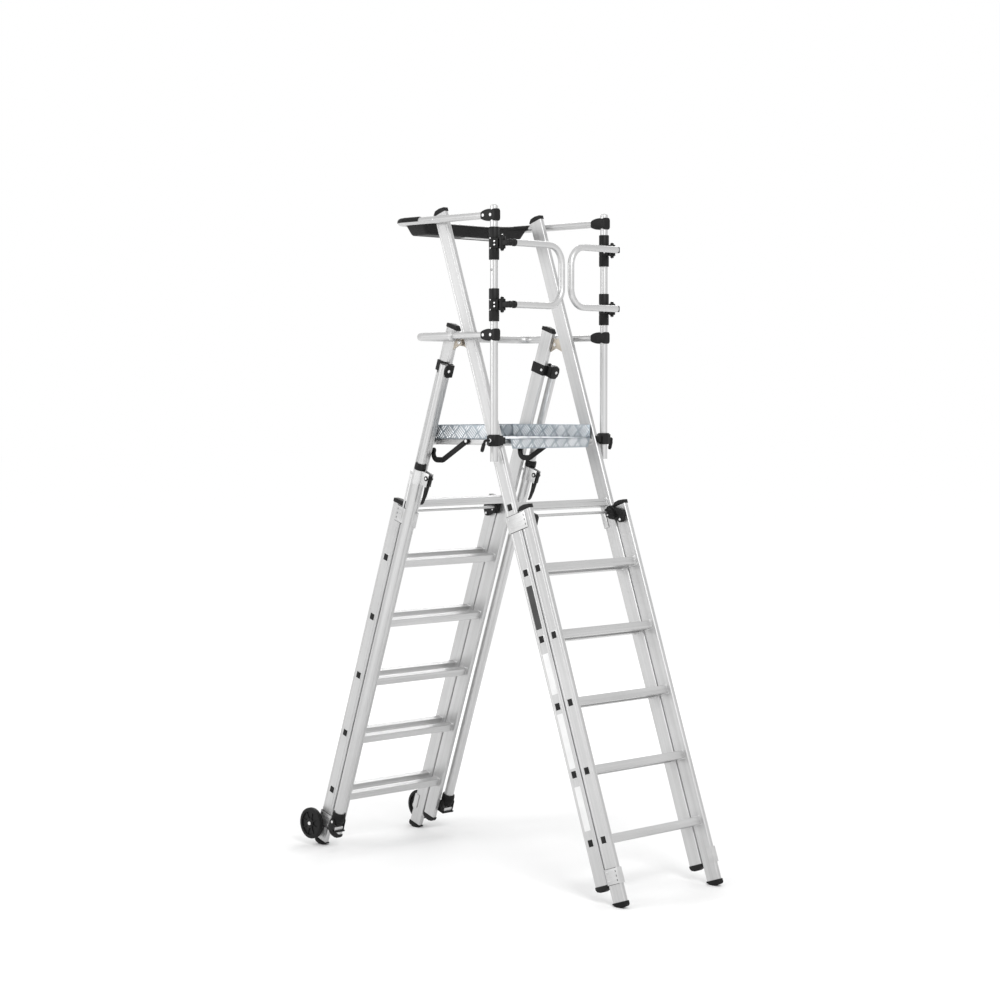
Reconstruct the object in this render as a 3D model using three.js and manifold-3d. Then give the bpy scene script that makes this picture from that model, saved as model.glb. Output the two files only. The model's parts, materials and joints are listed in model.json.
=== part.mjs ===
// Height-adjustable platform stepladder: two leaning telescopic sections, a platform with toe boards, a
// guardrail with half gates and a tray, two wheels and two telescopic outriggers. Millimetres, +Z up.
// +X runs along the rungs, -Y is the climbing side, and the origin is under the middle of the whole object.
import * as THREE from "three";
import { mergeVertices } from "three/addons/utils/BufferGeometryUtils.js";
import Module from "manifold-3d";

const wasm = await Module();
wasm.setup();

// ---- Driving dimensions --------------------------------------------------------------------------------
const LEAN = THREE.MathUtils.degToRad(18.9); // each section leans this much from upright
const APEX_Z = 2432.1; // height where the middle planes of the two upper sections meet
const GAP = 0.3; // between touching pieces
const RUNG_PITCH = 280;
const RUNG_0 = -2322.9; // lowest rung, measured along the section from the apex
const RUNG = { depth: 30, height: 33, wall: 2 };
const UPPER_RUNGS = 7;
const LOWER_RUNGS = 5;
const STILE = { outerX: 300, thick: 22, depth: 66, wall: 2.5 };
const OUTER = 73; // a lower section rides this far outside its upper section
const HINGE = { n: -62.2, t: -181.7, pin: 7, leaf: 5 }; // pin between the two upper sections
const FRONT_TOP = 376; // ends of the stiles along the section
const REAR_TOP = -136;
const UPPER_END = -2498;
const LOWER_TOP = -953;
const FOOT_TOP = -2568;
const PIVOT_RUNG_R = 15; // the round top rungs that carry the platform
const DECK = { x: 270, front: -245, rear: 250, z: 1839.5, thick: 4, board: 54.5, sheet: 3 };
const POST = { x: 333, y: -240, r: 16, wall: 2, bottom: 1746, top: 2790 };
const TOP_RAIL = { r: 15, z: 2755, rear: 338 };
const MID_RAIL = { r: 15, z: 2266, rear: 235 };
const RAIL_FRONT = -157.5; // the rails begin here, inside the clevises
const GATE = { y: -332, high: 2643, low: 2392, start: 300, end: 28, r: 14, bend: 78, axisY: -287 };
const TRAY = { x: 290, front: 200, rear: 322, bottom: 2692, top: 2739, wall: 3, round: 22 };
const LEG = { x: 335, n: -42, inner: 18, outer: 22, wall: 2, top: -286, joint: -755, end: -2410 };
const CAM = { x: 327, n: -97.5, t: -775.8 };
const WHEEL = { x: 332, n: 119.8, t: -2509.2, r: 70, width: 25, bore: 9 };
const LATCH = { n: 26, t: -971, rod: 6, pivotN: 85, pivotT: -990 };

const sin = Math.sin(LEAN);
const cos = Math.cos(LEAN);
const HANDS = [["left", -1], ["right", 1]];

// ---- Materials -----------------------------------------------------------------------------------------
const metal = (color, roughness) => new THREE.MeshStandardMaterial({ color, roughness, metalness: 1 });
const plastic = (color, roughness) => new THREE.MeshStandardMaterial({ color, roughness, metalness: 0 });
const ALUMINIUM = metal(0xc4c6c8, 0.35);
const DECK_METAL = metal(0xb5b8ba, 0.45);
const BLACK = plastic(0x1b1b1d, 0.55);
const RUBBER = plastic(0x151515, 0.8);

// ---- Solids --------------------------------------------------------------------------------------------
function solid(geometry) {
  const bare = geometry.index ? geometry.toNonIndexed() : geometry.clone();
  bare.deleteAttribute("normal");
  bare.deleteAttribute("uv");
  const merged = mergeVertices(bare, 1e-3);
  return new wasm.Manifold(
    new wasm.Mesh({
      numProp: 3,
      vertProperties: merged.attributes.position.array,
      triVerts: new Uint32Array(merged.index.array),
    }),
  );
}

function shell(manifold) {
  const mesh = manifold.getMesh();
  const geometry = new THREE.BufferGeometry();
  geometry.setAttribute("position", new THREE.BufferAttribute(mesh.vertProperties, 3));
  geometry.setIndex(new THREE.BufferAttribute(mesh.triVerts, 1));
  return geometry;
}

const join = (...pieces) => shell(pieces.map(solid).reduce((all, piece) => all.add(piece)));
const cut = (piece, ...tools) => shell(tools.map(solid).reduce((left, tool) => left.subtract(tool), solid(piece)));

function box([x0, x1], [y0, y1], [z0, z1]) {
  const size = [Math.abs(x1 - x0), Math.abs(y1 - y0), Math.abs(z1 - z0)];
  return new THREE.BoxGeometry(...size).translate((x0 + x1) / 2, (y0 + y1) / 2, (z0 + z1) / 2);
}

// An outline in the Y-Z plane, carried along X.
function prism(outline, x0, x1) {
  const shape = new THREE.Shape(outline.map(([y, z]) => new THREE.Vector2(y, z)));
  const turn = new THREE.Matrix4().makeBasis(
    new THREE.Vector3(0, 1, 0),
    new THREE.Vector3(0, 0, 1),
    new THREE.Vector3(1, 0, 0),
  );
  return new THREE.ExtrudeGeometry(shape, { depth: Math.abs(x1 - x0), bevelEnabled: false })
    .applyMatrix4(turn)
    .translate(Math.min(x0, x1), 0, 0);
}

function rod(from, to, radius, sides = 16) {
  const a = new THREE.Vector3(...from);
  const b = new THREE.Vector3(...to);
  const along = b.clone().sub(a);
  const turn = new THREE.Quaternion().setFromUnitVectors(new THREE.Vector3(0, 1, 0), along.clone().normalize());
  const middle = a.add(b).multiplyScalar(0.5);
  return new THREE.CylinderGeometry(radius, radius, along.length(), sides)
    .applyQuaternion(turn)
    .translate(middle.x, middle.y, middle.z);
}

function ring(radius, wall, sides) {
  const shape = new THREE.Shape();
  const hole = new THREE.Path();
  const corner = (i, r) => [r * Math.cos((2 * Math.PI * i) / sides), r * Math.sin((2 * Math.PI * i) / sides)];
  for (let i = 0; i < sides; i++) {
    const step = i ? "lineTo" : "moveTo";
    shape[step](...corner(i, radius));
    hole[step](...corner(-i, radius - wall));
  }
  shape.closePath();
  hole.closePath();
  shape.holes.push(hole);
  return shape;
}

// A straight tube along Z.
function tube(radius, wall, z0, z1, sides = 18) {
  const options = { depth: z1 - z0, bevelEnabled: false };
  return new THREE.ExtrudeGeometry(ring(radius, wall, sides), options).translate(0, 0, z0);
}

// A route of straight runs whose corners are rounded to one bend radius; a step falls on every node.
class BentRoute extends THREE.Curve {
  constructor(corners, bend, stepsPerBend = 6) {
    super();
    this.nodes = [];
    this.tangents = [];
    const points = corners.map((p) => new THREE.Vector3(...p));
    const last = points.length - 1;
    this.put(points[0], points[1].clone().sub(points[0]));
    for (let i = 1; i < last; i++) {
      const back = points[i - 1].clone().sub(points[i]).normalize();
      const onward = points[i + 1].clone().sub(points[i]).normalize();
      const centre = points[i].clone().addScaledVector(back, bend).addScaledVector(onward, bend);
      for (let k = 0; k <= stepsPerBend; k++) {
        const angle = (k / stepsPerBend) * (Math.PI / 2);
        const node = centre
          .clone()
          .addScaledVector(onward, -bend * Math.cos(angle))
          .addScaledVector(back, -bend * Math.sin(angle));
        const heading = onward.clone().multiplyScalar(Math.sin(angle)).addScaledVector(back, -Math.cos(angle));
        this.put(node, heading);
      }
    }
    this.put(points[last], points[last].clone().sub(points[last - 1]));
  }
  put(node, heading) {
    this.nodes.push(node);
    this.tangents.push(heading.normalize());
  }
  at(list, u) {
    return list[Math.round(u * (list.length - 1))].clone();
  }
  getPointAt(u) {
    return this.at(this.nodes, u);
  }
  getTangentAt(u) {
    return this.at(this.tangents, u);
  }
}

function bentTube(corners, bend, radius, wall, sides = 14) {
  const route = new BentRoute(corners, bend);
  return new THREE.ExtrudeGeometry(ring(radius, wall, sides), {
    extrudePath: route,
    steps: route.nodes.length - 1,
    bevelEnabled: false,
  });
}

// ---- The shared frames: x across, n outward from a section's middle plane, t up along the section ---------
const ladder = new THREE.Group();
const rear = new THREE.Group();
const front = new THREE.Group();
rear.position.z = APEX_Z;
rear.rotation.set(LEAN, 0, 0);
front.position.z = APEX_Z;
front.rotation.set(LEAN, 0, Math.PI, "ZYX");
ladder.add(front, rear);

function add(group, name, geometry, material) {
  const mesh = new THREE.Mesh(geometry, material);
  mesh.name = name;
  group.add(mesh);
}

const floorT = (n) => (-APEX_Z - n * sin) / cos;
const rungT = (k) => RUNG_0 + k * RUNG_PITCH;

// ---- Sections ------------------------------------------------------------------------------------------
function stile(x, n, t0, t1) {
  const half = STILE.depth / 2;
  const inner = STILE.outerX - STILE.thick;
  const wall = STILE.wall;
  const hollow = box(
    [x * (inner + wall), x * (STILE.outerX - wall)],
    [n - half + wall, n + half - wall],
    [t0 - 1, t1 + 1],
  );
  return cut(box([x * inner, x * STILE.outerX], [n - half, n + half], [t0, t1]), hollow);
}

function rung(n, t) {
  const reach = STILE.outerX - STILE.thick - GAP;
  const d = RUNG.depth / 2;
  const h = RUNG.height / 2;
  const w = RUNG.wall;
  const body = box([-reach, reach], [n - d, n + d], [t - h, t + h]);
  return cut(body, box([-reach - 1, reach + 1], [n - d + w, n + d - w], [t - h + w, t + h - w]));
}

function roundRung(n, t) {
  const reach = STILE.outerX - STILE.thick - GAP;
  const sides = 20;
  const outside = rod([-reach, n, t], [reach, n, t], PIVOT_RUNG_R, sides);
  return cut(outside, rod([-reach - 1, n, t], [reach + 1, n, t], PIVOT_RUNG_R - RUNG.wall, sides));
}

// A rubber foot: flat on the floor in the middle of its width and rounded up at both edges.
function foot(x) {
  const n0 = OUTER - STILE.depth / 2 - 2;
  const n1 = OUTER + STILE.depth / 2 + 2;
  const flat0 = n0 + 14;
  const flat1 = n1 - 18;
  const outline = [
    [n0, FOOT_TOP],
    [n0, FOOT_TOP - 9],
    [n0 + 5, floorT(n0 + 5) + 5],
    [flat0, floorT(flat0)],
    [flat1, floorT(flat1)],
    [n1 - 6, FOOT_TOP - 22],
    [n1, FOOT_TOP - 10],
    [n1, FOOT_TOP],
  ];
  const inner = STILE.outerX - STILE.thick - 2;
  return prism(outline, x * inner, x * (STILE.outerX + 2));
}

// A sheet leaf that runs from a stile's inner edge round the hinge pin.
function hingeLeaf(x, from) {
  const edge = -STILE.depth / 2 + 1;
  const eye = 18;
  const outline = [[edge, HINGE.t - 60]];
  for (let i = 0; i <= 8; i++) {
    const angle = -Math.PI / 2 - (i / 8) * Math.PI;
    outline.push([HINGE.n + eye * Math.cos(angle), HINGE.t + eye * Math.sin(angle)]);
  }
  outline.push([edge, HINGE.t + 60]);
  return prism(outline.reverse(), x * from, x * (from + HINGE.leaf));
}

const FRONT_LEAF_X = 279;
const REAR_LEAF_X = 293;

function frontUpperStile(x) {
  const pin = rod([x * FRONT_LEAF_X, HINGE.n, HINGE.t], [x * 299, HINGE.n, HINGE.t], HINGE.pin);
  return join(stile(x, 0, UPPER_END, FRONT_TOP), hingeLeaf(x, FRONT_LEAF_X), pin);
}

// The rear leaf is bored for the pin, and a U-shaped bracket outside the stile holds the outrigger's top.
function rearUpperStile(x) {
  const bore = rod([x * 290, HINGE.n, HINGE.t], [x * 301, HINGE.n, HINGE.t], HINGE.pin + 1);
  const leaf = cut(hingeLeaf(x, REAR_LEAF_X), bore);
  const wing = LEG.inner + 2;
  const sheet = 3;
  const span = [LEG.top - 46, LEG.top + 2];
  const base = STILE.outerX - 1;
  const webEnd = STILE.outerX + sheet;
  const web = box([x * base, x * webEnd], [LEG.n - wing - sheet, 10], span);
  const earEnd = LEG.x + LEG.inner;
  const ears = [LEG.n - wing - sheet, LEG.n + wing].map((n) => box([x * base, x * earEnd], [n, n + sheet], span));
  return join(stile(x, 0, UPPER_END, REAR_TOP), leaf, web, ...ears);
}

// A triangular sheet bracket carries the wheel's axle beside the foot.
function rearLowerStile(x) {
  const eye = 16;
  const outline = [[70, WHEEL.t + 150], [70, WHEEL.t - 20], [WHEEL.n, WHEEL.t - eye]];
  for (let i = 1; i <= 5; i++) {
    const angle = -Math.PI / 2 + (i / 5) * (Math.PI / 2 + 0.35);
    outline.push([WHEEL.n + eye * Math.cos(angle), WHEEL.t + eye * Math.sin(angle)]);
  }
  outline.push([100, WHEEL.t + 150]);
  const bracket = prism(outline, x * (STILE.outerX - 1), x * (STILE.outerX + 4));
  const outerEnd = x * (WHEEL.x + WHEEL.width / 2 + 3);
  const axle = rod([x * STILE.outerX, WHEEL.n, WHEEL.t], [outerEnd, WHEEL.n, WHEEL.t], WHEEL.bore - 0.6);
  return join(stile(x, OUTER, FOOT_TOP + GAP, LOWER_TOP), bracket, axle);
}

// Two latches on one cross rod: they hang on the lower section and reach the upper section's rung.
function lockBar() {
  const edge = STILE.outerX - STILE.thick - 0.7;
  const outline = [
    [LATCH.n - 7, LATCH.t - 30],
    [LATCH.pivotN + 12, LATCH.pivotT - 14],
    [LATCH.pivotN + 12, LATCH.pivotT + 14],
    [LATCH.n + 20, LATCH.t + 18],
    [LATCH.n - 7, LATCH.t + 12],
  ];
  const latches = [-1, 1].map((x) => prism(outline, x * (edge - 40), x * edge));
  return join(rod([-edge, LATCH.n, LATCH.t], [edge, LATCH.n, LATCH.t], LATCH.rod, 10), ...latches);
}

function addSection(group, name, turned) {
  const stileTop = { front: frontUpperStile, rear: rearUpperStile }[name];
  for (const [hand, side] of HANDS) {
    const x = turned ? -side : side;
    const lower = turned ? stile(x, OUTER, FOOT_TOP + GAP, LOWER_TOP) : rearLowerStile(x);
    add(group, `${name}_upper_stile_${hand}`, stileTop(x), ALUMINIUM);
    add(group, `${name}_lower_stile_${hand}`, lower, ALUMINIUM);
    add(group, `${name}_foot_${hand}`, foot(x), RUBBER);
  }
  for (let k = 0; k < UPPER_RUNGS; k++) {
    const made = k === UPPER_RUNGS - 1 ? roundRung(0, rungT(k)) : rung(0, rungT(k));
    add(group, `${name}_upper_rung_${k + 1}`, made, ALUMINIUM);
  }
  for (let k = 0; k < LOWER_RUNGS; k++) {
    add(group, `${name}_lower_rung_${k + 1}`, rung(OUTER, rungT(k)), ALUMINIUM);
  }
  add(group, `${name}_lock_bar`, lockBar(), BLACK);
}

// ---- Platform ------------------------------------------------------------------------------------------
function platformDeck() {
  const { x, front: y0, rear: y1, z, thick, board, sheet } = DECK;
  const top = z + thick;
  const plate = box([-x, x], [y0, y1], [z, top]);
  const sides = [-1, 1].map((s) => box([s * (x - sheet), s * x], [y0, y1], [z, top + board]));
  const back = box([-x, x], [y1 - sheet, y1], [z, top + board]);
  const flange = prism([[y0 - 8, top - 42], [y0 - 5, top - 42], [y0 + 3, top], [y0, top]], -x, x);
  const beams = [-1, 1].map((s) => box([s * 235, s * 257], [-180, 175], [1812, z + 1]));
  return join(plate, ...sides, back, flange, ...beams);
}

// A strap hook beside the beam: it runs down and back from its pin, then turns up under the rear rung.
const HOOK = { pin: [-10, 1827], bend: [160, 1745], tip: [208, 1784], half: 10, x: 259, thick: 9 };

function hook(side) {
  const stroke = [HOOK.pin, [40, 1812], [115, 1756], HOOK.bend, [186, 1756], HOOK.tip];
  const x0 = side * HOOK.x;
  const x1 = side * (HOOK.x + HOOK.thick);
  const links = stroke.slice(1).map(([y, z], i) => {
    const [py, pz] = stroke[i];
    const length = Math.hypot(y - py, z - pz);
    const ny = (-(z - pz) / length) * HOOK.half;
    const nz = ((y - py) / length) * HOOK.half;
    return prism([[py - ny, pz - nz], [y - ny, z - nz], [y + ny, z + nz], [py + ny, pz + nz]], x0, x1);
  });
  const ends = stroke.map(([y, z]) => rod([x0, y, z], [x1, y, z], HOOK.half, 12));
  return join(...links, ...ends);
}

// ---- Guardrail -----------------------------------------------------------------------------------------
function guardPost(side) {
  const { x, y, r, wall, bottom, top } = POST;
  const at = (geometry) => geometry.translate(side * x, y, 0);
  const core = at(rod([0, 0, bottom], [0, 0, top], r, 18));
  const bore = at(rod([0, 0, bottom - 1], [0, 0, top - 8], r - wall, 18));
  const clamp = box([side * (STILE.outerX + GAP), side * 352], [-264, -216], [1811, 1853]);
  const clevises = [TOP_RAIL.z, MID_RAIL.z].map((z) =>
    box([side * (x - 19), side * (x + 19)], [-267, RAIL_FRONT - GAP], [z - 18, z + 18]),
  );
  const sleeves = [GATE.high, GATE.low].map((z) => at(rod([0, 0, z - 67], [0, 0, z + 67], 21, 18)));
  const ears = [GATE.high, GATE.low].flatMap((z) =>
    [-24, 20].map((dz) => box([side * (x - 12), side * (x + 12)], [GATE.axisY - 12, y - 18], [z + dz, z + dz + 4])),
  );
  return cut(join(core, clamp, ...clevises, ...sleeves, ...ears), bore);
}

function topRail() {
  const { r, z, rear: y } = TOP_RAIL;
  const x = POST.x;
  const corners = [[-x, RAIL_FRONT, z], [-x, y, z], [x, y, z], [x, RAIL_FRONT, z]];
  const bolts = [-1, 1].map((s) => rod([s * (STILE.outerX + GAP), 112, z], [s * (x - 13.6), 112, z], 9, 12));
  return join(bentTube(corners, 60, r, 2), ...bolts);
}

function midRail() {
  const { r, z, rear: y } = MID_RAIL;
  const x = POST.x;
  const corners = [[-x, RAIL_FRONT, z], [-x, y, z], [x, y, z], [x, RAIL_FRONT, z]];
  const collar = (s) => {
    const outside = rod([s * x, -9, z], [s * x, 9, z], 26, 20);
    return cut(outside, rod([s * x, -10, z], [s * x, 10, z], r - 1, 14));
  };
  return join(bentTube(corners, 60, r, 2), collar(-1), collar(1));
}

function toolTray() {
  const { x, front: y0, rear: y1, bottom, top, wall, round } = TRAY;
  const outline = (inset, lid) => {
    const shape = new THREE.Shape();
    const r = round - inset;
    shape.moveTo(-x + inset, lid);
    shape.lineTo(-x + inset, bottom + round);
    shape.absarc(-x + round, bottom + round, r, Math.PI, 1.5 * Math.PI, false);
    shape.lineTo(x - round, bottom + inset);
    shape.absarc(x - round, bottom + round, r, 1.5 * Math.PI, 2 * Math.PI, false);
    shape.lineTo(x - inset, lid);
    return shape;
  };
  const along = (shape, a, b) =>
    new THREE.ExtrudeGeometry(shape, { depth: b - a, bevelEnabled: false, curveSegments: 5 })
      .rotateX(Math.PI / 2)
      .translate(0, b, 0);
  const bowl = cut(along(outline(0, top), y0, y1), along(outline(wall, top + 1), y0 + wall, y1 - wall));
  const lipZ = TOP_RAIL.z + TOP_RAIL.r + GAP + 0.1;
  const wings = [-1, 1].flatMap((s) => [
    box([s * (x - wall), s * x], [y0 + 6, y1 - 45], [top - 10, lipZ + wall]),
    box([s * (x - wall), s * 346], [y0 + 6, y1 - 45], [lipZ, lipZ + wall]),
  ]);
  return join(bowl, ...wings);
}

function halfGate(side) {
  const { y, high, low, start, end, r, bend, axisY } = GATE;
  const frame = bentTube(
    [[side * start, y, high], [side * end, y, high], [side * end, y, low], [side * start, y, low]],
    bend,
    r,
    2,
  );
  const knuckles = [high, low].flatMap((z) => [
    rod([side * POST.x, axisY, z - 18], [side * POST.x, axisY, z + 18], 11, 14),
    rod([side * (POST.x - 4), axisY - 8, z], [side * (start + 10), y + 2, z], 12, 12),
    rod([side * (POST.x - 12), y, z], [side * (start - 16), y, z], 16.5, 14),
  ]);
  const drain = rod([side * 150, y, low - r - 3], [side * 150, y, low - 5], 3, 8);
  return cut(join(frame, ...knuckles), drain);
}

// A short arm that stands out from the clamp and hangs down at its end.
function clampLever(side) {
  const [y, z] = [POST.y, 1833];
  const elbow = [side * 391, y, z];
  const grip = rod(elbow, [side * 391, y + 16, z - 42], 6, 10);
  return join(rod([side * (352 + GAP), y, z], elbow, 6, 10), rod([side * 386, y, z], [side * 397, y, z], 7, 10), grip);
}

// ---- Outriggers and wheels, in the rear section's frame --------------------------------------------------
function legInner() {
  return tube(LEG.inner, LEG.wall, LEG.joint - 560, LEG.top);
}

function legOuter(side) {
  const body = tube(LEG.outer, LEG.wall, LEG.end, LEG.joint, 18);
  const collar = tube(LEG.outer + 2, 5, LEG.joint - 4, LEG.joint + 26, 18);
  const cup = tube(28, 9, LEG.end - 6, LEG.end + 84, 18);
  const cam = side * (CAM.x - LEG.x);
  const n = CAM.n - LEG.n;
  const skin = (x) => -Math.sqrt((LEG.outer - 1) ** 2 - (x + 1.5) ** 2);
  const ears = [cam - 12, cam + 9].map((x) => box([x, x + 3], [n - 13, skin(x)], [CAM.t - 26, CAM.t + 20]));
  return join(body, collar, cup, ...ears);
}

function camLever() {
  const arm = prism([[-11, 0], [-11, -112], [-2, -120], [8, -112], [11, 0]], -6, 6);
  return join(rod([-6, 0, 0], [6, 0, 0], 11, 16), arm);
}

// A U-shaped shoe that tilts on a pin through the end cup.
function legShoe() {
  const half = 34;
  const base = box([-half, half], [-32, 32], [-44, -38]);
  const ears = [-half, half - 4].map((x) => box([x, x + 4], [-16, 16], [-40, 14]));
  return join(base, ...ears);
}

function wheel() {
  const { r, width, bore } = WHEEL;
  const w = width / 2;
  const profile = [[bore, -w], [22, -w], [26, -w + 5], [54, -w + 5], [58, -w], [r - 5, -w], [r, -w + 5]];
  const round = profile.concat(profile.map(([radius, y]) => [radius, -y]).reverse());
  round.push(round[0]);
  return new THREE.LatheGeometry(round.map((p) => new THREE.Vector2(...p)), 28).rotateZ(-Math.PI / 2);
}

const place = (geometry, x, n, t) => geometry.translate(x, n, t);

// ---- Assembly ------------------------------------------------------------------------------------------
addSection(front, "front", true);
addSection(rear, "rear", false);
add(ladder, "platform_deck", platformDeck(), DECK_METAL);
add(ladder, "top_guardrail", topRail(), ALUMINIUM);
add(ladder, "mid_guardrail", midRail(), ALUMINIUM);
add(ladder, "tool_tray", toolTray(), BLACK);
for (const [hand, side] of HANDS) {
  add(ladder, `platform_hook_${hand}`, hook(side), BLACK);
  add(ladder, `guard_post_${hand}`, guardPost(side), ALUMINIUM);
  add(ladder, `gate_${hand}`, halfGate(side), ALUMINIUM);
  add(ladder, `clamp_lever_${hand}`, clampLever(side), BLACK);
  add(rear, `outrigger_inner_${hand}`, place(legInner(), side * LEG.x, LEG.n, 0), ALUMINIUM);
  add(rear, `outrigger_outer_${hand}`, place(legOuter(side), side * LEG.x, LEG.n, 0), ALUMINIUM);
  add(rear, `outrigger_lever_${hand}`, place(camLever(), side * CAM.x, CAM.n, CAM.t), BLACK);
  add(rear, `outrigger_shoe_${hand}`, place(legShoe(), side * LEG.x, LEG.n, LEG.end + 20), RUBBER);
  add(rear, `wheel_${hand}`, place(wheel(), side * WHEEL.x, WHEEL.n, WHEEL.t), RUBBER);
}

// Centre the whole object over the origin: its front feet and its wheels reach furthest.
const footN = OUTER + STILE.depth / 2 + 2;
const frontReach = -(footN * cos - (FOOT_TOP - 10) * sin);
const rearReach = WHEEL.n * cos - WHEEL.t * sin + WHEEL.r;
ladder.position.y = -(frontReach + rearReach) / 2;

export default ladder;
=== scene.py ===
# %% [markdown]
# # A platform stepladder
# The lesson dresses a packed ladder: two leaning telescopic sections, a checker-plate platform, a guardrail
# with half gates, a tool tray, wheels and outriggers. Each piece is made where it belongs, and rides on the
# body that moves it.

import json
import math

import bmesh
import bpy
from mathutils import Matrix, Vector


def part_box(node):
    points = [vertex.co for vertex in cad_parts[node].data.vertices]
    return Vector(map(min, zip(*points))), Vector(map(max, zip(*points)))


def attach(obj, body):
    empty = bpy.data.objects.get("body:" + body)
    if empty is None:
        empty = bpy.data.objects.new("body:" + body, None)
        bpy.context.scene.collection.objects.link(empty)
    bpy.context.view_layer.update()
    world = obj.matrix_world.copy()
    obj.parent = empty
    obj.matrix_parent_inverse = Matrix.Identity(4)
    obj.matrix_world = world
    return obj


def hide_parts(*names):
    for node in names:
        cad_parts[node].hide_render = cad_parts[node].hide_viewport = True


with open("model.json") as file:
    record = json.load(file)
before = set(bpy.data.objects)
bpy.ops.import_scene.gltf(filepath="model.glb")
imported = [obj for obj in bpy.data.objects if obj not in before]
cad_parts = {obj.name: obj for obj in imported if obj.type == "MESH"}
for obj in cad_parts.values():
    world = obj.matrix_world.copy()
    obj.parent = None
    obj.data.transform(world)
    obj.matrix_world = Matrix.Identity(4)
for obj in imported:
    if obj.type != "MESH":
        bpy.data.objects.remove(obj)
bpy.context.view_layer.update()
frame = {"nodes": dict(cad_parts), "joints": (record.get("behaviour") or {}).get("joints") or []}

# %% [markdown]
# ## Finding the sections again
# A leaning section is awkward to build in upright axes. So each one gets its own axes: x across, n outward
# from its middle plane, t up along it. The lean comes from the direction in which the lower section slides,
# and the apex, where the two middle planes meet, from the lowest rungs.

# %% The axes of each section
MM = 0.001
joints = {j["name"]: j for j in frame["joints"]}


def centre(node):
    low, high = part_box(node)
    return (low + high) / 2


slide = Vector(joints["front_extend"]["axis"])
lean = math.atan2(abs(slide.y), abs(slide.z))
low_front = centre("front_upper_rung_1")
low_rear = centre("rear_upper_rung_1")
mid_y = (low_front.y + low_rear.y) / 2
half_spread = (low_rear.y - low_front.y) / 2
apex = Vector((0, mid_y, low_front.z + half_spread / math.tan(lean)))
rung_0 = -half_spread / math.sin(lean) / MM
PITCH = 280


def axes_at(origin, turned):
    tilt = Matrix.Rotation(lean, 4, "X")
    if turned:
        tilt = Matrix.Rotation(math.pi, 4, "Z") @ tilt
    return Matrix.Translation(origin) @ tilt @ Matrix.Scale(MM, 4)


FRONT = axes_at(apex, True)
REAR = axes_at(apex, False)
ROW = Matrix.Translation((0, mid_y, 0)) @ Matrix.Scale(MM, 4)
HANDS = (("left", -1), ("right", 1))
UP = (0, 0, 1)
SECTIONS = (("front", FRONT), ("rear", REAR))
FIXED = "front_upper"
print("lean", round(math.degrees(lean), 2), "apex", round(apex.z, 4), "first rung at", round(rung_0, 1))


def rung_t(k):
    return rung_0 + PITCH * k


def hands_of(axes):
    """Each hand with its side in a section's own axes, since the front section is turned round."""
    return [(hand, -side if axes is FRONT else side) for hand, side in HANDS]


# %% [markdown]
# ## Camera, floor and light
# The camera stands back with a long lens, which keeps the uprights nearly parallel. A pale floor and a pale
# world meet without a horizon line, and big soft lamps give a gentle shadow, helped by painted shade on the
# floor round the ladder.


# %% Camera
def stand(name, data):
    """A new object in the scene."""
    item = bpy.data.objects.new(name, data)
    bpy.context.scene.collection.objects.link(item)
    return item


LENS, SENSOR = 80.8, 36
STAND = (-6.8275, -6.7688 + mid_y, 1.9906)
LOOK_DOWN, LOOK_RIGHT = 2.5, 45
camera = stand("camera", bpy.data.cameras.new("camera"))
camera.data.lens = LENS
camera.data.sensor_width = SENSOR
camera.data.clip_end = 200
camera.location = STAND
camera.rotation_euler = (math.radians(90 - LOOK_DOWN), 0, math.radians(-LOOK_RIGHT))
bpy.context.scene.camera = camera

# %% Floor, world and lamps
FLOOR_HALF, FLOOR_Z = 60, -0.0006
floor_mesh = bpy.data.meshes.new("floor")
ground = [(x * FLOOR_HALF, y * FLOOR_HALF, FLOOR_Z) for x, y in ((-1, -1), (1, -1), (1, 1), (-1, 1))]
floor_mesh.from_pydata(ground, [], [(0, 1, 2, 3)])
floor = stand("floor", floor_mesh)

world = bpy.data.worlds.new("studio")
bpy.context.scene.world = world
world.use_nodes = True
sky = world.node_tree.nodes["Background"]
sky.inputs["Color"].default_value = (1, 1, 1, 1)
sky.inputs["Strength"].default_value = 1.0
bpy.context.scene.view_settings.view_transform = "Standard"


def lamp(name, place, target, size, power):
    light = bpy.data.lights.new(name, "AREA")
    light.shape = "DISK"
    light.size = size
    light.energy = power
    item = stand(name, light)
    item.location = place
    item.rotation_euler = (Vector(target) - Vector(place)).to_track_quat("-Z", "Y").to_euler()


lamp("key", (-3.0, -6.0, 5.5), (0, 0, 1.2), 3.0, 230)
lamp("side", (-6.5, 2.5, 3.5), (0, 0, 1.4), 2.5, 110)
lamp("rim", (5, 4, 5), (0, 0, 1.6), 3.0, 90)
print("camera at", tuple(round(v, 3) for v in camera.location))

# %% [markdown]
# ## Shader maths as plain expressions
# A node graph is easier to read as arithmetic. This small class wraps a socket, so that 0.3 + 0.2 * noise
# adds the Math nodes by itself. Colours and vectors never go through Math, which would turn them grey.


# %% A socket that does arithmetic
class Value:
    def __init__(self, finish, socket):
        self.finish = finish
        self.socket = socket

    def _do(self, operation, a, b):
        return self.finish.add("ShaderNodeMath", {"operation": operation}, [a, b])

    def __add__(self, other):
        return self._do("ADD", self, other)

    def __radd__(self, other):
        return self._do("ADD", other, self)

    def __mul__(self, other):
        return self._do("MULTIPLY", self, other)

    def __rmul__(self, other):
        return self._do("MULTIPLY", other, self)

    def smooth(self, low, high):
        inputs = {"Value": self, "From Min": low, "From Max": high}
        return self.finish.add("ShaderNodeMapRange", {"interpolation_type": "SMOOTHSTEP"}, inputs)


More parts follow.
